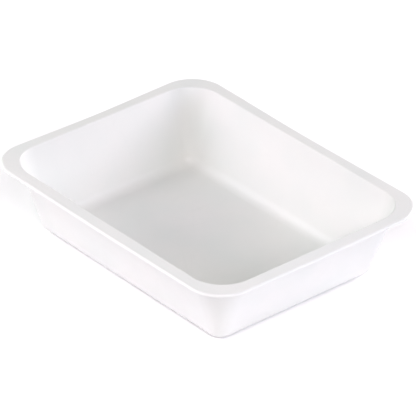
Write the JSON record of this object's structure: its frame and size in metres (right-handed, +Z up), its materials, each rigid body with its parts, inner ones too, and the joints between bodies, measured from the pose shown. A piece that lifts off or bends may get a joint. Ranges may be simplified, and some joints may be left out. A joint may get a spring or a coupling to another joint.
{
  "type": "paint roller tray",
  "caption": "Shallow rectangular plastic tray with leaning walls, rounded corners and a flat rim with a rolled-down lip, for holding paint while a roller or brush is loaded.",
  "frame": {"origin": "centre of the flat underside, on the surface that the tray stands on", "axes": "+Z up out of the tray's mouth, +X along its long side, +Y along its short side"},
  "size_m": [0.35, 0.276, 0.079],
  "materials": {
    "white_plastic": "smooth moulded white, satin gloss"
  },
  "bodies": {
    "root": {"tray": "white_plastic"}
  },
  "joints": []
}
